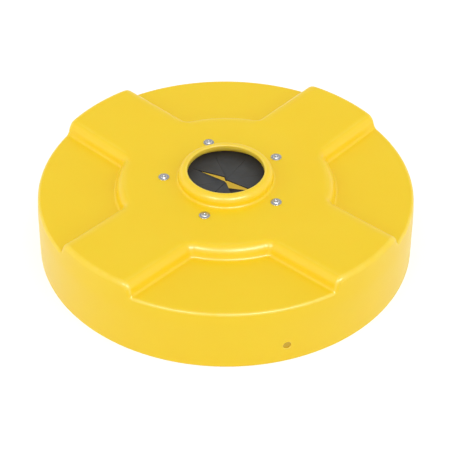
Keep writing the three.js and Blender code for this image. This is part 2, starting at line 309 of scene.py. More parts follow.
# %% Rows of the grid
skirt_rows = np.unique(np.concatenate([
    MM * np.array([0.8, 2, 6, 12, 18]), TETHER_HEIGHT + patch_steps,
    MM * np.array([52, 60, 68, 75, 79, 83, 86]), [SHOULDER_HEIGHT]]).round(6))
rim_rows = np.linspace(0, 1, 21)[1:]
rim_steps = MM * np.array([1.2, 2.4, 3.6, 4.8, 6, 7.2, 8.4, 10, 12])
rim_edge = skirt_radius(DECK)
top_rows = np.concatenate([
    np.linspace(rim_edge - 22 * MM, hub_foot + 14 * MM, 10),
    hub_foot + foot_stations[::-1],
    HUB_RADIUS + (hub_foot - HUB_RADIUS) * wall_shares[::-1],
    HUB_RADIUS - shoulder_stations[::-1],
    np.linspace(FAN_RADIUS, collar_foot, 9)[1:-1],
])


def ring(r, z):
    """One row of the grid: a point on every column at this radius and height."""
    azimuths = azimuths_at(float(np.max(r)))
    heights = np.broadcast_to(z, azimuths.shape)
    return np.stack([r * np.cos(azimuths), r * np.sin(azimuths), heights], axis=-1)


def sharp_top(r, azimuths):
    """Height of the lid's top before any round is put on it."""
    sideways = arm_distance(r * np.cos(azimuths), r * np.sin(azimuths)) - ARM_HALF_WIDTH
    depth = np.minimum(sideways, r - HUB_RADIUS) / WALL_SLOPE
    return DECK - np.clip(depth, DECK - deck_top(r), floor_depth(np.maximum(r, hub_foot)))


def outer_rows():
    rows = [ring(skirt_radius(z), z) for z in skirt_rows]
    rim_top = sharp_top(BASE_RADIUS, azimuths_at(BASE_RADIUS))
    for share in rim_rows:
        height = SHOULDER_HEIGHT + share * (rim_top - SHOULDER_HEIGHT)
        rows.append(ring(skirt_radius(height), height))
    for step in rim_steps:
        r = skirt_radius(rim_top) - step
        rows.append(ring(r, sharp_top(r, azimuths_at(r.max()))))
    for r in top_rows:
        rows.append(ring(r, sharp_top(r, azimuths_at(r))))
    return np.array(rows)


def arc(centre, radius, start, end, steps):
    """Points of an arc in the plane of radius and height, angles in degrees."""
    angles = np.radians(np.linspace(start, end, steps + 1))
    return [(centre[0] + radius * math.cos(a), centre[1] + radius * math.sin(a)) for a in angles]


def collar_rows(inset):
    """The collar's rings from its foot over its rounded top to the lip."""
    foot = (collar_foot, DECK + COLLAR_FOOT_ROUND)
    dome = COLLAR_DOME - inset
    mouth = PORT_RADIUS + inset
    line = arc(foot, COLLAR_FOOT_ROUND + inset, 270, 180, 8)
    if inset < MOUTH_ROUND:
        line += arc((dome_radius, dome_height), dome, 0, 90, 16)
        line += arc((dome_radius, COLLAR_TOP - MOUTH_ROUND), MOUTH_ROUND, 90, 180, 8)[1:]
    else:
        end = math.degrees(math.acos((mouth - dome_radius) / dome))
        line += arc((dome_radius, dome_height), dome, 0, end, 16)
    line.append((mouth, lip_edge + LIP_ROUND))
    return np.array([ring(r, z) for r, z in line])


def edge_rows(outer, inner, edge):
    """Two rings that round off the end of the skin, at the skirt's foot or at the lip."""
    return np.array([ring(outer + LIP_ROUND, edge), ring(inner - LIP_ROUND, edge)])


def lid_rows():
    """All rings in order: out and up over the lid to the lip, then back along the underside."""
    start = outer_rows()
    outside = slide_to(start.reshape(-1, 3), 0).reshape(start.shape)
    deeper = outside.reshape(-1, 3)
    deeper = deeper - slope_of(deeper) * WALL
    inside = slide_to(deeper, WALL).reshape(start.shape)
    lip = edge_rows(PORT_RADIUS, PORT_RADIUS + WALL, lip_edge)
    foot = edge_rows(BASE_RADIUS - WALL, BASE_RADIUS, 0)
    return np.concatenate([
        outside, collar_rows(0), lip, collar_rows(WALL)[::-1], inside[::-1], foot])


rows = lid_rows()
print("rings:", len(rows), "points:", rows.shape[0] * rows.shape[1])

# %% [markdown]
# ## From rings to a closed skin, with the tether hole
# Neighbouring rings are joined by quads, and the last ring is joined to the first, so the
# skin closes on itself like a tyre. The small hole in the skirt could be cut with a
# boolean, but that leaves long thin faces which shade badly on a curved wall. Here a
# square patch of the grid is left out on both sides of the skin, and rings that turn from
# the square into a circle fill it and run through the wall.

# %% Stitch the rings and the hole
def mesh_object(name, points, polygons, smooth=True):
    mesh = bpy.data.meshes.new(name)
    mesh.from_pydata([tuple(p) for p in points], [], [tuple(f) for f in polygons])
    mesh.polygons.foreach_set("use_smooth", [smooth] * len(mesh.polygons))
    mesh.update()
    made = bpy.data.objects.new(name, mesh)
    scene.collection.objects.link(made)
    return made


def drop_unused(points, polygons):
    """Leaves out the points that no polygon uses."""
    used = np.unique(np.concatenate([np.array(f) for f in polygons]))
    new_index = np.full(len(points), -1)
    new_index[used] = np.arange(len(used))
    return points[used], [[int(new_index[i]) for i in f] for f in polygons]


def patch_place():
    """First row and first column of the square that the tether hole takes out."""
    row = int(np.argmin(np.abs(skirt_rows - (TETHER_HEIGHT + patch_steps[0]))))
    turn = azimuths_at(BASE_RADIUS) - TETHER_AZIMUTH - patch_steps[0] / BASE_RADIUS
    turn = (turn + math.pi) % (2 * math.pi) - math.pi
    return row, int(np.argmin(np.abs(turn)))


def patch_border():
    """Steps of row and column round the square, anticlockwise from its lower left."""
    n = PATCH_CELLS
    lower = [(0, c) for c in range(n)]
    right = [(r, n) for r in range(n)]
    upper = [(n, n - c) for c in range(n)]
    left = [(n - r, 0) for r in range(n)]
    return lower + right + upper + left


def hole_rings():
    """Rings from the outer square through the hole to the inner square."""
    border = np.array(patch_border())
    square = np.stack([patch_steps[border[:, 1]], patch_steps[border[:, 0]]], axis=-1)
    outward = square / np.linalg.norm(square, axis=1)[:, None]
    edge = 0.7 * MM
    steps = []
    for share in (0.3, 0.6, 0.85):
        steps.append((square + share * (outward * (TETHER_RADIUS + edge) - square), 0.0))
    for angle in np.radians([0, 30, 60, 90]):
        radius = TETHER_RADIUS + edge * (1 - math.sin(angle))
        steps.append((outward * radius, edge * (1 - math.cos(angle))))
    steps += [(flat, WALL - depth) for flat, depth in reversed(steps)]
    rings = []
    for flat, depth in steps:
        azimuth = TETHER_AZIMUTH + flat[:, 0] / BASE_RADIUS
        height = TETHER_HEIGHT + flat[:, 1]
        r = skirt_radius(height) - depth
        rings.append(np.stack([r * np.cos(azimuth), r * np.sin(azimuth), height], axis=-1))
    return np.array(rings)


def make_lid(name):
    ring_count = len(rows)
    first_row, first_column = patch_place()
    last_inside = ring_count - 3
    grid = np.arange(ring_count * column_count).reshape(ring_count, column_count)
    cut_rows = set(range(first_row, first_row + PATCH_CELLS))
    cut_rows |= {last_inside - r - 1 for r in cut_rows}
    polygons = []
    for i in range(ring_count):
        following = (i + 1) % ring_count
        for j in range(column_count):
            if i in cut_rows and 0 <= j - first_column < PATCH_CELLS:
                continue
            beside = (j + 1) % column_count
            polygons.append((
                grid[i, j], grid[i, beside], grid[following, beside], grid[following, j]))
    border = patch_border()
    chain = [[grid[first_row + r, first_column + c] for r, c in border]]
    count = grid.size
    through = hole_rings()
    for k in range(len(through)):
        chain.append(list(range(count + k * len(border), count + (k + 1) * len(border))))
    chain.append([grid[last_inside - first_row - r, first_column + c] for r, c in border])
    for here, ahead in zip(chain, chain[1:]):
        for j in range(len(border)):
            beside = (j + 1) % len(border)
            polygons.append((here[j], here[beside], ahead[beside], ahead[j]))
    points = np.concatenate([rows.reshape(-1, 3), through.reshape(-1, 3)])
    points, polygons = drop_unused(points, polygons)
    return mesh_object(name, points, polygons)


lid = make_lid("moulded_lid")
print("lid:", len(lid.data.vertices), "points,", len(lid.data.polygons), "faces")

# %% [markdown]
# ## Holes for the rivets
# On the bench the lid and the rubber are clamped together and drilled in one go, so their
# holes line up. The same is done here: five drills on one circle cut both pieces. A boolean
# is the right tool this time, because the deck is flat there and cut faces shade cleanly.

# %% The drills and how they cut a piece
RIVET_COUNT = 5
DRILL_RADIUS = 3.5 * MM
DRILL_SIDES = 32
DRILL_OVERRUN = 10 * MM
rivet_low, rivet_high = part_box("rivet_1")
rivet_middle = (rivet_low + rivet_high) / 2
RIVET_CIRCLE = math.hypot(rivet_middle.x, rivet_middle.y)
FIRST_RIVET = math.atan2(rivet_middle.y, rivet_middle.x)
rivet_azimuths = [FIRST_RIVET + k * math.tau / RIVET_COUNT for k in range(RIVET_COUNT)]


def drills():
    """Five closed cylinders that run through the deck and the rubber."""
    points, polygons = [], []
    for azimuth in rivet_azimuths:
        first = len(points)
        for z in (DECK + DRILL_OVERRUN, RUBBER_TOP - DRILL_OVERRUN):
            for k in range(DRILL_SIDES):
                turn = k * math.tau / DRILL_SIDES
                points.append((
                    RIVET_CIRCLE * math.cos(azimuth) + DRILL_RADIUS * math.cos(turn),
                    RIVET_CIRCLE * math.sin(azimuth) + DRILL_RADIUS * math.sin(turn), z))
        upper = list(range(first, first + DRILL_SIDES))
        lower = [i + DRILL_SIDES for i in upper]
        polygons += [upper, lower[::-1]]
        for k in range(DRILL_SIDES):
            beside = (k + 1) % DRILL_SIDES
            polygons.append((upper[k], lower[k], lower[beside], upper[beside]))
    return mesh_object("drills", points, polygons, smooth=False)


def settle(piece):
    """Turns a piece's modifiers into plain mesh and removes them."""
    graph = bpy.context.evaluated_depsgraph_get()
    made = bpy.data.meshes.new_from_object(piece.evaluated_get(graph))
    piece.modifiers.clear()
    piece.data = made
    return piece


def drill(piece):
    cutter = drills()
    cut = piece.modifiers.new("drill", "BOOLEAN")
    cut.operation = "DIFFERENCE"
    cut.solver = "EXACT"
    cut.object = cutter
    settle(piece)
    bpy.data.objects.remove(cutter)


SHARP_ANGLE = math.radians(50)
drill(lid)
lid.data.set_sharp_from_angle(angle=SHARP_ANGLE)
print("drilled lid:", len(lid.data.vertices), "points")

# %% [markdown]
# ## How sharply each place bends
# Edges of moulded plastic turn paler as they are handled, and the foot of a wall keeps its
# colour. A finish can only follow that if every point knows how sharply the skin bends
# there. Cycles has a pointiness value of its own, but an exported model loses it, so the
# bend is measured here once and kept on the mesh as an attribute.

# %% Measure the bend and keep it
BEND_OF_AN_EDGE = 6 * MM


def keep_bend(piece):
    """Stores +1 where the skin bends as BEND_OF_AN_EDGE does, 0 on a flat, -1 in a hollow."""
    mesh = piece.data
    places = np.zeros(len(mesh.vertices) * 3, np.float32)
    mesh.vertices.foreach_get("co", places)
    normals = np.zeros_like(places)
    mesh.vertices.foreach_get("normal", normals)
    ends = np.zeros(len(mesh.edges) * 2, np.int32)
    mesh.edges.foreach_get("vertices", ends)
    places, normals, ends = places.reshape(-1, 3), normals.reshape(-1, 3), ends.reshape(-1, 2)
    total, count = np.zeros(len(places)), np.zeros(len(places))
    for near, far in (ends.T, ends.T[::-1]):
        apart = places[far] - places[near]
        fall = -(normals[near] * apart).sum(axis=1) / np.maximum((apart ** 2).sum(axis=1), 1e-12)
        np.add.at(total, near, fall)
        np.add.at(count, near, 1)
    bend = 4 * BEND_OF_AN_EDGE * total / np.maximum(count, 1)
    kept = mesh.attributes.new("bend", "FLOAT", "POINT")
    kept.data.foreach_set("value", np.clip(bend, -2, 2).astype(np.float32))


keep_bend(lid)

# %% [markdown]
# ## Placing nodes from a script
# Every finish below is a small tree of nodes. Two helpers keep them readable: one places a
# node and fills its sockets by name, and a number class lets a formula be written as a
# formula, with one Math node placed for each operation.

# %% Helpers for node trees
def place(tree, kind, inputs=None, **settings):
    """Adds a node. An input is either another node's socket or a plain value."""
    node = tree.nodes.new(kind)
    for name, value in settings.items():
        setattr(node, name, value)
    for name, value in (inputs or {}).items():
        if isinstance(value, bpy.types.NodeSocket):
            tree.links.new(value, node.inputs[name])
        else:
            node.inputs[name].default_value = value
    return node


class Number:
    """A number inside a node tree, which may vary over the surface."""

    def __init__(self, tree, socket):
        self.tree = tree
        self.socket = socket

    def calc(self, operation, *values):
        inputs = {i: getattr(v, "socket", v) for i, v in enumerate(values)}
        node = place(self.tree, "ShaderNodeMath", inputs, operation=operation)
        return Number(self.tree, node.outputs[0])

    def __add__(self, other):
        return self.calc("ADD", self, other)

    def __sub__(self, other):
        return self.calc("SUBTRACT", self, other)

    def __rsub__(self, other):
        return self.calc("SUBTRACT", other, self)

    def __mul__(self, other):
        return self.calc("MULTIPLY", self, other)

    def __truediv__(self, other):
        return self.calc("DIVIDE", self, other)

    def lesser(self, other):
        return self.calc("MINIMUM", self, other)

    def greater(self, other):
        return self.calc("MAXIMUM", self, other)

    def size(self):
        return self.calc("ABSOLUTE", self)

    def sign(self):
        return self.calc("SIGN", self)

    def sine(self):
        return self.calc("SINE", self)

    def cosine(self):
        return self.calc("COSINE", self)


def between(tree, value, low, high, new_low=0.0, new_high=1.0):
    """Stretches a value from one range to another and holds it at both ends."""
    node = place(tree, "ShaderNodeMapRange", {
        "Value": value, "From Min": low, "From Max": high, "To Min": new_low, "To Max": new_high})
    return node.outputs["Result"]


def blended(tree, share, first, second):
    """A colour between two others."""
    node = place(tree, "ShaderNodeMix", {"Factor": share}, data_type="RGBA")
    for socket, colour in ((node.inputs[6], first), (node.inputs[7], second)):
        if isinstance(colour, bpy.types.NodeSocket):
            tree.links.new(colour, socket)
        else:
            socket.default_value = (*colour, 1)
    return node.outputs[2]


def new_group(name, inputs, outputs):
    """An empty shader group. Inputs are floats, apart from Place, which is a vector."""
    tree = bpy.data.node_groups.new(name, "ShaderNodeTree")
    for socket, value in inputs.items():
        kind = "NodeSocketVector" if value is None else "NodeSocketFloat"
        made = tree.interface.new_socket(socket, in_out="INPUT", socket_type=kind)
        if value is not None:
            made.default_value = value
    for socket in outputs:
        tree.interface.new_socket(socket, in_out="OUTPUT", socket_type="NodeSocketFloat")
    given = tree.nodes.new("NodeGroupInput").outputs
    result = tree.nodes.new("NodeGroupOutput").inputs
    return tree, given, result


# %% [markdown]
# ## Effects that several finishes share
# Moulded plastic, rubber and metal all have a grain, uneven film and paler edges, each at
# its own scale. Each effect is a group, built once. It gives out a height or a mask, and
# the finish decides what that does to its colour, gloss or relief.

# %% Grain, film and paler edges
def grain_group():
    tree, given, result = new_group(
        "surface_grain",
        {"Place": None, "Grain per metre": 900.0, "Grain depth": 0.00003,
         "Waves per metre": 14.0, "Wave depth": 0.0002}, ["Height"])
    fine = place(tree, "ShaderNodeTexNoise", {
        "Vector": given["Place"], "Scale": given["Grain per metre"], "Detail": 3.0})
    wave = place(tree, "ShaderNodeTexNoise", {
        "Vector": given["Place"], "Scale": given["Waves per metre"], "Detail": 1.0})
    height = (
        Number(tree, fine.outputs["Fac"]) * given["Grain depth"]
        + Number(tree, wave.outputs["Fac"]) * given["Wave depth"])
    tree.links.new(height.socket, result["Height"])
    return tree


def film_group():
    tree, given, result = new_group(
        "uneven_film", {"Place": None, "Patches per metre": 12.0, "Softness": 0.2}, ["Mask"])
    cloud = place(tree, "ShaderNodeTexNoise", {
        "Vector": given["Place"], "Scale": given["Patches per metre"],
        "Detail": 5.0, "Roughness": 0.6, "Distortion": 0.4})
    low = 0.5 - Number(tree, given["Softness"])
    high = Number(tree, given["Softness"]) + 0.5
    mask = between(tree, cloud.outputs["Fac"], low.socket, high.socket)
    tree.links.new(mask, result["Mask"])
    return tree


def edge_group():
    tree, given, result = new_group(
        "paler_edge", {"Place": None, "Bend": 0.0, "Starts at": 0.25, "Breaks per metre": 60.0},
        ["Mask"])
    broken = place(tree, "ShaderNodeTexNoise", {
        "Vector": given["Place"], "Scale": given["Breaks per metre"], "Detail": 3.0})
    edge = between(tree, given["Bend"], given["Starts at"], 1.0)
    share = between(tree, broken.outputs["Fac"], 0.3, 0.6, 0.45, 1.0)
    tree.links.new((Number(tree, edge) * share).socket, result["Mask"])
    return tree


surface_grain = grain_group()
uneven_film = film_group()
paler_edge = edge_group()
print("shared effects:", [group.name for group in bpy.data.node_groups])

# %% [markdown]
# ## Finishes
# A finish starts from one Principled shader. What never varies, such as the metal's
# metalness or the plastic's light scatter, is set on the shader itself. What varies over
# the surface comes from the shared effects.

# %% Start a finish
def new_finish(name, constants):
    """A material with one Principled shader, and the places that its patterns follow."""
    finish = bpy.data.materials.new(name)
    finish.use_nodes = True
    tree = finish.node_tree
    shader = tree.nodes["Principled BSDF"]
    for socket, value in constants.items():
        shader.inputs[socket].default_value = value
    place_of = place(tree, "ShaderNodeTexCoord").outputs["Object"]
    return finish, tree, shader, place_of


def effect(tree, group, place_of, inputs):
    """Places a shared effect and gives back its one output."""
    node = tree.nodes.new("ShaderNodeGroup")
    node.node_tree = group
    tree.links.new(place_of, node.inputs["Place"])
    for name, value in inputs.items():
        if isinstance(value, bpy.types.NodeSocket):
            tree.links.new(value, node.inputs[name])
        else:
            node.inputs[name].default_value = value
    return node.outputs[0]


def mesh_value(tree, name):
    return place(tree, "ShaderNodeAttribute", attribute_name=name).outputs["Fac"]


def relief(tree, shader, height):
    bump = place(tree, "ShaderNodeBump", {"Height": height, "Distance": 1.0, "Strength": 1.0})
    tree.links.new(bump.outputs["Normal"], shader.inputs["Normal"])


# %% [markdown]
# ### Yellow polyethylene
# Rotationally moulded polyethylene is slightly waxy: light goes a few millimetres into it
# and comes out yellower, so the shader scatters light below the surface. The skin has a
# faint orange peel and long shallow waves from cooling, and its edges are paler.

# %% Finish of the lid
def lid_finish():
    finish, tree, shader, place_of = new_finish("yellow_polyethylene", {
        "IOR": 1.5, "Specular IOR Level": 0.42,
        "Subsurface Weight": 0.2, "Subsurface Radius": (1.0, 0.55, 0.08),
        "Subsurface Scale": 0.005})
    film = effect(tree, uneven_film, place_of, {"Patches per metre": 9.0, "Softness": 0.25})
    pale = effect(tree, paler_edge, place_of, {"Bend": mesh_value(tree, "bend")})
    yellow = blended(tree, film, (0.885, 0.600, 0.006), (0.895, 0.622, 0.010))
    paleness = (Number(tree, pale) * 0.5).socket
    colour = blended(tree, paleness, yellow, (0.93, 0.72, 0.12))
    tree.links.new(colour, shader.inputs["Base Color"])
    gloss = between(tree, film, 0.0, 1.0, 0.30, 0.37)
    tree.links.new(gloss, shader.inputs["Roughness"])
    relief(tree, shader, effect(tree, surface_grain, place_of, {
        "Grain per metre": 700.0, "Grain depth": 0.00002,
        "Waves per metre": 16.0, "Wave depth": 0.00035}))
    return finish


yellow_polyethylene = lid_finish()
lid.data.materials.append(yellow_polyethylene)
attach(lid, "lid")
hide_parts("lid_shell")

# %% [markdown]
# ### Black rubber
# Sheet rubber is nearly matt. Its waxes creep out as a grey bloom that lies in patches and
# rubs off, while a knife cut shows the fresh black inside. The black also runs onto a thin
# strip of the top face beside each cut, and that strip is painted shade for the dark slits.

# %% Finish of the rubber
def rubber_finish():
    finish, tree, shader, place_of = new_finish("black_rubber", {"IOR": 1.5})
    film = effect(tree, uneven_film, place_of, {"Patches per metre": 26.0, "Softness": 0.22})
    grey = blended(tree, film, (0.026, 0.029, 0.033), (0.050, 0.053, 0.058))
    # Black at the cuts: the cut faces are fresh black rubber, and the black strip on the top face beside each cut
    # is painted shade along the slits.
    colour = blended(tree, mesh_value(tree, "cut"), grey, (0.006, 0.006, 0.006))
    tree.links.new(colour, shader.inputs["Base Color"])
    tree.links.new(between(tree, film, 0.0, 1.0, 0.52, 0.66), shader.inputs["Roughness"])
    relief(tree, shader, effect(tree, surface_grain, place_of, {
        "Grain per metre": 1500.0, "Grain depth": 0.00003,
        "Waves per metre": 45.0, "Wave depth": 0.0002}))
    return finish


black_rubber = rubber_finish()

# %% [markdown]
# ## Rubber border
# The diaphragm is one sheet. The part outside the flaps' roots is clamped under the deck.
# Its opening is an eight-sided figure, one side for each flap, with its corners at the ends
# of the knife cuts. Rings that turn from that figure into a circle make it.

# %% Sizes of the diaphragm
FLAP_COUNT = 8
hinges = [j for j in frame["joints"] if j["name"].startswith("flap_")]
hinge_places = [Vector(j["pos_m"]) for j in hinges]
HINGE_RADIUS = math.hypot(hinge_places[0].x, hinge_places[0].y)
half_flap = math.pi / FLAP_COUNT
flap_azimuths = [math.atan2(p.y, p.x) for p in hinge_places]
SHEET_ROUND = 0.5 * MM
print("flaps:", len(hinges), "roots at", round(1000 * HINGE_RADIUS, 2), "mm")


# %% Make the border
BORDER_COLUMNS_PER_FLAP = 24


def border_outline():
    """Radius and height of the border's section, as a share of the way out and a height."""
    half = RUBBER_THICKNESS / 2
    across = [0.0, 0.02, 0.1, 0.3, 0.6, 0.9, 0.985]
    top = [(share, half) for share in across]
    edge = [(1.0, half - SHEET_ROUND), (1.0, SHEET_ROUND - half)]
    bottom = [(share, -half) for share in reversed(across)]
    return top + edge + bottom


def make_border(name):
    columns = FLAP_COUNT * BORDER_COLUMNS_PER_FLAP
    outline = border_outline()
    middle = RUBBER_TOP - RUBBER_THICKNESS / 2
    points = []
    for column in range(columns):
        share = (column % BORDER_COLUMNS_PER_FLAP) / BORDER_COLUMNS_PER_FLAP
        off = share * 2 * half_flap - half_flap
        azimuth = flap_azimuths[column // BORDER_COLUMNS_PER_FLAP] + off
        inner = HINGE_RADIUS / math.cos(off)
        for way_out, height in outline:
            r = inner + way_out * (RUBBER_RADIUS - inner)
            points.append((r * math.cos(azimuth), r * math.sin(azimuth), middle + height))
    count = len(outline)
    polygons = []
    for column in range(columns):
        beside = (column + 1) % columns
        for k in range(count):
            ahead = (k + 1) % count
            polygons.append((
                column * count + k, column * count + ahead,
                beside * count + ahead, beside * count + k))
    return mesh_object(name, points, polygons)


border = make_border("rubber_border")
drill(border)
border.data.set_sharp_from_angle(angle=SHARP_ANGLE)
border.data.materials.append(black_rubber)
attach(border, "lid")
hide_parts("diaphragm_ring")
print("border:", len(border.data.polygons), "faces")

# %% [markdown]
# ## Eight flaps from one rule
# Every flap is the same wedge between two knife cuts, and only its rest shape differs: how
# far it hangs or stands up and how it is twisted. Geometry Nodes suit that. One tree turns
# a plain grid of points into a flap by a formula, and each flap gives it its own numbers.
# A flap bends over its first few millimetres and is straight after that, as rubber does.

# %% How far each packed flap hangs
def rest_sag(node):
    """Angle of a packed flap below flat, from where its tip lies."""
    places = np.array([v.co for v in node.data.vertices], float)
    r = np.hypot(places[:, 0], places[:, 1])
    tip = places[r < r.min() + 1.5 * MM]
    tip_r = np.hypot(tip[:, 0], tip[:, 1]).mean()
    down = hinge_places[0].z - (tip[:, 2].min() + tip[:, 2].max()) / 2
    return math.atan2(down, HINGE_RADIUS - tip_r)


sags = [rest_sag(frame["nodes"][j["child"]]) for j in hinges]
print("flaps hang by", [round(math.degrees(s), 1) for s in sags], "degrees")

# %% The flap's node tree
CUT_WIDTH = 0.12 * MM
TIP_HALF_WIDTH = 0.6 * MM
CUT_ROUND = 0.15 * MM
EDGE_STRIP = 0.8 * MM
BEND_LENGTH = 14 * MM
ACROSS = 11
wedge = math.tan(half_flap)
cut_share = CUT_WIDTH / 2 / math.cos(half_flap)
FLAP_LENGTH = HINGE_RADIUS - (TIP_HALF_WIDTH + cut_share) / wedge


def flap_tree():
    tree = bpy.data.node_groups.new("rubber_flap", "GeometryNodeTree")
    for name in ("Azimuth", "Sag", "Twist", "Cup"):
        tree.interface.new_socket(name, in_out="INPUT", socket_type="NodeSocketFloat")
    tree.interface.new_socket("Finish", in_out="INPUT", socket_type="NodeSocketMaterial")
    tree.interface.new_socket("Geometry", in_out="OUTPUT", socket_type="NodeSocketGeometry")
    given = tree.nodes.new("NodeGroupInput").outputs
    grid = place(tree, "GeometryNodeMeshCube", {
        "Vertices X": 40, "Vertices Y": 2 * ACROSS + 1, "Vertices Z": 4})
    position = place(tree, "GeometryNodeInputPosition").outputs[0]
    xyz = place(tree, "ShaderNodeSeparateXYZ", {0: position})
    x, y, z = (Number(tree, socket) for socket in xyz.outputs)
    sag, azimuth = Number(tree, given["Sag"]), Number(tree, given["Azimuth"])

    from_root = (x + 0.5) * FLAP_LENGTH
    half_width = (HINGE_RADIUS - from_root) * wedge - cut_share
    strip = (half_width * 0.5).lesser(EDGE_STRIP)
    side = (y * 2).size()
    inner_share = (side * (ACROSS / (ACROSS - 1))).lesser(1)
    at_cut = (side * ACROSS - (ACROSS - 1)).greater(0)
    at_face = ((z * 2).size() * 1.5 - 0.5).greater(0)
    width = inner_share * (half_width - strip) + at_cut * strip - at_cut * at_face * CUT_ROUND
    sideways = width * (y * -1).sign()
    height = z.sign() * ((1 - at_face) * -CUT_ROUND + RUBBER_THICKNESS / 2)

    bending = from_root.lesser(BEND_LENGTH)
    slope = sag * bending / BEND_LENGTH
    curve = sag.calc("DIVIDE", BEND_LENGTH, sag)
    along = curve * slope.sine() + (from_root - bending) * sag.cosine()
    down = curve * (1 - slope.cosine()) + (from_root - bending) * sag.sine()
    reach = from_root / FLAP_LENGTH
    lean = reach * reach * sideways * given["Twist"]
    cup = sideways * sideways / (HINGE_RADIUS * wedge) * reach * given["Cup"]
    radius = HINGE_RADIUS - along - height * slope.sine()
    level = height * slope.cosine() - down + lean + cup + (RUBBER_TOP - RUBBER_THICKNESS / 2)
    across_x = radius * azimuth.cosine() - sideways * azimuth.sine()
    across_y = radius * azimuth.sine() + sideways * azimuth.cosine()
    placed = place(tree, "ShaderNodeCombineXYZ", {
        0: across_x.socket, 1: across_y.socket, 2: level.socket})

    # The cut share is stored for the finish: it blackens the cut faces and, as painted shade, a thin strip of the
    # top face along each slit.
    cut = place(tree, "GeometryNodeStoreNamedAttribute", {
        "Geometry": grid.outputs["Mesh"], "Name": "cut", "Value": at_cut.socket})
    shaped = place(tree, "GeometryNodeSetPosition", {
        "Geometry": cut.outputs[0], "Position": placed.outputs[0]})
    whole = place(tree, "GeometryNodeRealizeInstances", {"Geometry": shaped.outputs[0]})
    finished = place(tree, "GeometryNodeSetMaterial", {
        "Geometry": whole.outputs[0], "Material": given["Finish"]})
    result = tree.nodes.new("NodeGroupOutput")
    tree.links.new(finished.outputs[0], result.inputs[0])
    return tree


def grow(tree, name, inputs):
    """Runs a Geometry Nodes tree with these inputs and keeps what it makes as a plain mesh."""
    made = bpy.data.objects.new(name, bpy.data.meshes.new(name))
    scene.collection.objects.link(made)
    modifier = made.modifiers.new(tree.name, "NODES")
    modifier.node_group = tree
    sockets = {s.name: s.identifier for s in tree.interface.items_tree if s.in_out == "INPUT"}
    for socket, value in inputs.items():
        modifier[sockets[socket]] = value
    settle(made)
    made.data.name = name
    return made


rubber_flap = flap_tree()

# %% Grow the flaps and hang them on the border
twists = [0.01, -0.02, 0.05, 0.0, 0.01, -0.01, -0.03, 0.02]
cups = [0.0, 0.02, 0.05, 0.0, 0.0, 0.02, -0.04, 0.03]


def make_flap(k):
    joint = hinges[k]
    flap = grow(rubber_flap, "rubber_" + joint["child"], {
        "Azimuth": flap_azimuths[k], "Sag": sags[k], "Twist": twists[k], "Cup": cups[k],
        "Finish": black_rubber})
    flap.data.polygons.foreach_set("use_smooth", [True] * len(flap.data.polygons))
    flap.data.set_sharp_from_angle(angle=SHARP_ANGLE)
    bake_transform(flap)
    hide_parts(joint["child"])
    return flap


flaps = [make_flap(k) for k in range(FLAP_COUNT)]
print("flaps:", [flap.name for flap in flaps])

# %% [markdown]
# ## Blind rivets, their mandrels and the backing washers
# A blind rivet is a hollow rivet on a steel pin. Pulling the pin folds the far end into a
# bulb, and then the pin snaps off and leaves a dark stub in the head. All of it is turned,
# so each part is a profile swept once round its own axis. The profile is written once, and
# a second tree sets five copies on the rivet circle, each at its own turn.

# %% Turn a profile
TURNED_SIDES = 40


def turned(name, profile):
    """Sweeps a closed profile of (radius, height) pairs round the Z axis."""
    points, polygons, rings = [], [], []
    for r, z in profile:
        if r < 1e-7:
            rings.append([len(points)] * TURNED_SIDES)
            points.append((0.0, 0.0, z))
            continue
        rings.append(list(range(len(points), len(points) + TURNED_SIDES)))
        for k in range(TURNED_SIDES):
            turn = k * math.tau / TURNED_SIDES
            points.append((r * math.cos(turn), r * math.sin(turn), z))
    closed = profile[0][0] > 1e-7
    steps = list(zip(rings, rings[1:])) + ([(rings[-1], rings[0])] if closed else [])
    for here, ahead in steps:
        for k in range(TURNED_SIDES):
            beside = (k + 1) % TURNED_SIDES
            corners = [here[k], here[beside], ahead[beside], ahead[k]]
            polygons.append(list(dict.fromkeys(corners)))
    return mesh_object(name, points, polygons)


def rounded_end(r, z, radius, start, end, steps=4):
    """An arc of a profile round a corner's centre."""
    return arc((r, z), radius, start, end, steps)


# %% Profiles of the three turned parts
mandrel_low, mandrel_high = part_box("rivet_mandrel_1")
washer_low, washer_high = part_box("backing_washer_1")
FLANGE_RADIUS = (rivet_high.x - rivet_low.x) / 2
HEAD_TOP = rivet_high.z
SEAT_GAP = 0.3 * MM
HEAD_SEAT = DECK + SEAT_GAP
FLANGE_EDGE = 0.9 * MM
RIVET_BORE = 1.9 * MM
DIMPLE_RADIUS = 3.0 * MM
BOSS_RADIUS = 4.9 * MM
BOSS_FILLET = 0.2 * MM
SHANK_RADIUS = 3.2 * MM
BULB_RADIUS = 4.9 * MM
WASHER_RADIUS = (washer_high.x - washer_low.x) / 2
WASHER_BORE = SHANK_RADIUS + SEAT_GAP
MANDREL_RADIUS = 1.6 * MM
MANDREL_HEAD_RADIUS = (mandrel_high.x - mandrel_low.x) / 2


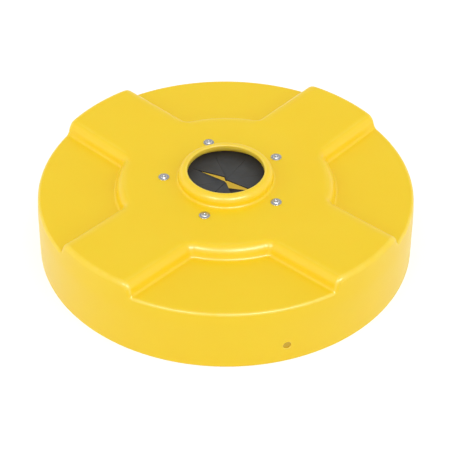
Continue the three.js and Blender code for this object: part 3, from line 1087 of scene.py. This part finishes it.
def rivet_profile():
    """Up the bore, over the raised middle and the thin flange, and down the shank."""
    low = rivet_low.z
    flange_top = HEAD_SEAT + FLANGE_EDGE
    dimple = [
        (RIVET_BORE, HEAD_TOP - 0.75 * MM), (RIVET_BORE + 0.2 * MM, HEAD_TOP - 0.4 * MM),
        (DIMPLE_RADIUS - 0.5 * MM, HEAD_TOP - 0.1 * MM)]
    boss_foot = flange_top + BOSS_FILLET
    boss = []
    for angle in np.radians(np.linspace(0, 90, 8)):
        r = DIMPLE_RADIUS + (BOSS_RADIUS - DIMPLE_RADIUS) * math.sin(angle)
        boss.append((r, boss_foot + (HEAD_TOP - boss_foot) * math.cos(angle)))
    boss.append((BOSS_RADIUS + BOSS_FILLET, flange_top + BOSS_FILLET / 4))
    boss.append((BOSS_RADIUS + 3.5 * BOSS_FILLET, flange_top))
    rim = rounded_end(FLANGE_RADIUS - 0.4 * MM, HEAD_SEAT + 0.45 * MM, 0.4 * MM, 70, -90)
    bulb_top = washer_low.z - SEAT_GAP
    shank = [(SHANK_RADIUS, HEAD_SEAT), (SHANK_RADIUS, bulb_top)]
    bulb_middle = (bulb_top + low) / 2
    half = bulb_middle - low
    bulb = []
    for angle in np.radians(np.linspace(80, -70, 9)):
        swell = (BULB_RADIUS - SHANK_RADIUS) * math.cos(angle)
        bulb.append((SHANK_RADIUS + swell, bulb_middle + half * math.sin(angle)))
    end = [(SHANK_RADIUS - 0.3 * MM, low), (RIVET_BORE, low)]
    return dimple + boss + rim + shank + bulb + end


def mandrel_profile():
    """A stub with a torn end above, and the pin's own head under the bulb."""
    low, high = mandrel_low.z, mandrel_high.z
    head = rivet_low.z - SEAT_GAP
    top = [(0.0, high), (0.5 * MM, high - 0.05 * MM), (0.9 * MM, high - 0.3 * MM),
           (MANDREL_RADIUS - 0.2 * MM, high - 0.4 * MM), (MANDREL_RADIUS, high - 0.7 * MM)]
    neck = [(MANDREL_RADIUS, head), (MANDREL_HEAD_RADIUS - 0.4 * MM, head)]
    ball = rounded_end(MANDREL_HEAD_RADIUS - 0.6 * MM, low + 0.6 * MM, 0.6 * MM, 0, -90)
    return top + neck + [(MANDREL_HEAD_RADIUS, head - 0.4 * MM)] + ball + [(0.0, low)]


def washer_profile():
    """A flat ring, its outer edge rounded by the tumbler and its bore a little broken."""
    low, high = washer_low.z, washer_high.z
    edge = 0.35 * MM
    outer = rounded_end(WASHER_RADIUS - edge, high - edge, edge, 90, 0)
    outer += rounded_end(WASHER_RADIUS - edge, low + edge, edge, 0, -90)
    inner = rounded_end(WASHER_BORE + edge, low + edge, edge, 270, 180)
    inner += rounded_end(WASHER_BORE + edge, high - edge, edge, 180, 90)
    return outer + inner


# %% [markdown]
# ### Metal finishes
# The rivets are aluminium, bright but tumbled, so the light spreads a little on them. The
# stubs are darker steel, torn and matt. The washers are zinc-plated, and zinc shows flakes.

# %% Finishes of the metals
def metal_finish(name, dull, bright, gloss, grain_depth):
    """A metal whose film varies its colour and its gloss, with brighter worn edges."""
    finish, tree, shader, place_of = new_finish(name, {"Metallic": 1.0})
    film = effect(tree, uneven_film, place_of, {"Patches per metre": 240.0, "Softness": 0.3})
    worn = effect(tree, paler_edge, place_of, {
        "Bend": mesh_value(tree, "bend"), "Breaks per metre": 700.0})
    colour = blended(tree, worn, blended(tree, film, dull, bright), (0.93, 0.93, 0.92))
    tree.links.new(colour, shader.inputs["Base Color"])
    tree.links.new(between(tree, film, 0.0, 1.0, *gloss), shader.inputs["Roughness"])
    relief(tree, shader, effect(tree, surface_grain, place_of, {
        "Grain per metre": 2500.0, "Grain depth": grain_depth,
        "Waves per metre": 300.0, "Wave depth": 0.00004}))
    return finish


tumbled_aluminium = metal_finish(
    "tumbled_aluminium", (0.38, 0.39, 0.40), (0.58, 0.59, 0.60), (0.34, 0.20), 0.000008)
torn_steel = metal_finish(
    "torn_steel", (0.20, 0.19, 0.18), (0.38, 0.37, 0.36), (0.6, 0.45), 0.00003)
zinc_plate = metal_finish(
    "zinc_plate", (0.48, 0.50, 0.53), (0.66, 0.68, 0.72), (0.5, 0.3), 0.00001)

# %% The tree that sets copies on a circle
def circle_tree():
    tree = bpy.data.node_groups.new("copies_on_circle", "GeometryNodeTree")
    kinds = {"Pattern": "Object", "Count": "Int", "Radius": "Float", "First azimuth": "Float",
             "Seed": "Int", "Finish": "Material"}
    for name, kind in kinds.items():
        tree.interface.new_socket(name, in_out="INPUT", socket_type="NodeSocket" + kind)
    tree.interface.new_socket("Geometry", in_out="OUTPUT", socket_type="NodeSocketGeometry")
    given = tree.nodes.new("NodeGroupInput").outputs
    circle = place(tree, "GeometryNodeMeshCircle", {
        "Vertices": given["Count"], "Radius": given["Radius"]})
    start = place(tree, "ShaderNodeCombineXYZ", {2: given["First azimuth"]})
    turned_circle = place(tree, "GeometryNodeTransform", {
        "Geometry": circle.outputs[0], "Rotation": start.outputs[0]})
    pattern = place(tree, "GeometryNodeObjectInfo", {"Object": given["Pattern"]})
    spin = place(tree, "FunctionNodeRandomValue", {
        "Min": (0.0, 0.0, 0.0), "Max": (0.0, 0.0, math.tau), "Seed": given["Seed"]},
        data_type="FLOAT_VECTOR")
    copies = place(tree, "GeometryNodeInstanceOnPoints", {
        "Points": turned_circle.outputs[0], "Instance": pattern.outputs["Geometry"],
        "Rotation": spin.outputs[0]})
    whole = place(tree, "GeometryNodeRealizeInstances", {"Geometry": copies.outputs[0]})
    finished = place(tree, "GeometryNodeSetMaterial", {
        "Geometry": whole.outputs[0], "Material": given["Finish"]})
    result = tree.nodes.new("NodeGroupOutput")
    tree.links.new(finished.outputs[0], result.inputs[0])
    return tree


copies_on_circle = circle_tree()


def ring_of(name, profile, node_prefix, finish):
    """Turns one part and sets its five copies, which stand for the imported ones."""
    pattern = turned(name + "_pattern", profile)
    pattern.data.set_sharp_from_angle(angle=SHARP_ANGLE)
    keep_bend(pattern)
    made = grow(copies_on_circle, name, {
        "Pattern": pattern, "Count": RIVET_COUNT, "Radius": RIVET_CIRCLE,
        "First azimuth": FIRST_RIVET, "Seed": 7, "Finish": finish})
    bpy.data.objects.remove(pattern)
    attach(made, "lid")
    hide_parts(*[f"{node_prefix}_{k + 1}" for k in range(RIVET_COUNT)])
    print(name, len(made.data.polygons), "faces")


ring_of("blind_rivets", rivet_profile(), "rivet", tumbled_aluminium)
ring_of("mandrel_stubs", mandrel_profile(), "rivet_mandrel", torn_steel)
ring_of("backing_washers", washer_profile(), "backing_washer", zinc_plate)

# %% [markdown]
# ## Floor, light and view
# The lid stands on a white sweep in a light tent, so light comes from everywhere and the
# shadows almost vanish. A sweep that only reflects would go grey beside the lid, so it also
# glows a little, as a lit acrylic table does. Under the lid the floor glows warm yellow:
# painted light that stands in for the light coming through the yellow plastic. The glow
# that reaches the lid's skin as soft light is held back, or the skirt would lose its colour.
# Seen from below the floor is clear. Two soft boxes beside the camera draw the highlights
# along the rounds. They are left out of the soft light, which is the tent's alone.

# %% Floor
FLOOR_DIMMING = 0.8
FLOOR_HALF = 8.0
FLOOR_DROP = 0.1 * MM
# Painted light: the floor under the lid glows warm yellow in place of light coming through the yellow lid.
PAINTED_LIGHT_UNDER_LID = (0.42, 0.31, 0.045)
GLOW_OUTSIDE = (0.62, 0.62, 0.62)


def floor_finish():
    finish = bpy.data.materials.new("lit_table")
    finish.use_nodes = True
    tree = finish.node_tree
    shader = tree.nodes["Principled BSDF"]
    shader.inputs["Roughness"].default_value = 0.7
    shader.inputs["Specular IOR Level"].default_value = 0.2
    places = place(tree, "ShaderNodeTexCoord").outputs["Object"]
    xyz = place(tree, "ShaderNodeSeparateXYZ", {0: places})
    x, y = Number(tree, xyz.outputs[0]), Number(tree, xyz.outputs[1])
    distance = x.calc("SQRT", x * x + y * y)
    outside = between(tree, distance.socket, BASE_RADIUS - 25 * MM, BASE_RADIUS)
    # The warm glow under the lid is painted light for the light through the lid; outside it the floor glows evenly
    # white.
    glow = blended(tree, outside, PAINTED_LIGHT_UNDER_LID, GLOW_OUTSIDE)
    tree.links.new(glow, shader.inputs["Emission Color"])
    bounced = place(tree, "ShaderNodeLightPath").outputs["Is Diffuse Ray"]
    dimmed = Number(tree, bounced) * outside * FLOOR_DIMMING
    tree.links.new((1.0 - dimmed).socket, shader.inputs["Emission Strength"])
    shader.inputs["Base Color"].default_value = (0.5, 0.5, 0.5, 1)
    clear = place(tree, "ShaderNodeBsdfTransparent").outputs[0]
    behind = place(tree, "ShaderNodeNewGeometry").outputs["Backfacing"]
    mixed = place(tree, "ShaderNodeMixShader", {0: behind, 1: shader.outputs[0], 2: clear})
    tree.links.new(mixed.outputs[0], tree.nodes["Material Output"].inputs["Surface"])
    return finish


floor_corners = [(x, y, -FLOOR_DROP) for x, y in (
    (-FLOOR_HALF, -FLOOR_HALF), (FLOOR_HALF, -FLOOR_HALF),
    (FLOOR_HALF, FLOOR_HALF), (-FLOOR_HALF, FLOOR_HALF))]
floor = mesh_object("table", floor_corners, [(0, 1, 2, 3)], smooth=False)
floor.data.materials.append(floor_finish())
floor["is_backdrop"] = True

# %% Light tent and two soft boxes
SHADE_DIRECTION = Vector((0.0, 0.756, 0.654))
BOX_DISTANCE = 2.6
BOX_ELEVATION = 41
BOX_HEIGHT = 0.5


def light_tent():
    """White all round, with a greyer panel behind the lid so that the deck keeps its colour."""
    world = bpy.data.worlds.new("light_tent")
    world.use_nodes = True
    tree = world.node_tree
    background = tree.nodes["Background"]
    direction = place(tree, "ShaderNodeTexCoord").outputs["Generated"]
    towards = place(tree, "ShaderNodeVectorMath", {
        0: direction, 1: SHADE_DIRECTION}, operation="DOT_PRODUCT")
    shade = between(tree, towards.outputs["Value"], 0.6, 0.95, 1.0, 0.5)
    xyz = place(tree, "ShaderNodeSeparateXYZ", {0: direction})
    overhead = between(tree, xyz.outputs[2], 0.0, 1.0, 1.35, 1.12)
    tree.links.new((Number(tree, shade) * overhead).socket, background.inputs["Strength"])
    background.inputs["Color"].default_value = (1, 1, 1, 1)
    scene.world = world


def soft_box(name, azimuth, width, power):
    """An area light at this azimuth from the front, turned to the middle of the lid."""
    data = bpy.data.lights.new(name, "AREA")
    data.shape = "RECTANGLE"
    data.size, data.size_y, data.energy = width, BOX_HEIGHT, power
    light = bpy.data.objects.new(name, data)
    scene.collection.objects.link(light)
    turn, rise = math.radians(azimuth), math.radians(BOX_ELEVATION)
    level = math.cos(rise)
    away = Vector((math.sin(turn) * level, -math.cos(turn) * level, math.sin(rise)))
    light.location = away * BOX_DISTANCE
    light.rotation_euler = away.to_track_quat("Z", "Y").to_euler()
    light.visible_camera = False
    light.visible_diffuse = False


light_tent()
soft_box("left_box", azimuth=-32, width=0.9, power=40)
soft_box("right_box", azimuth=22, width=1.5, power=75)
scene.view_settings.view_transform = "Standard"

# %% [markdown]
# ## Finish
# How far each corner of the finished model's box lies from the imported model's box is
# printed. They should hardly differ, because the fine surfaces follow the same sizes.

# %% Print the sizes and finish
visual_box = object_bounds()
for end, packed, fine in zip(("low", "high"), cad_box, visual_box):
    print(end, "corner moved by", [round(abs(a - b) / MM, 2) for a, b in zip(packed, fine)], "mm")
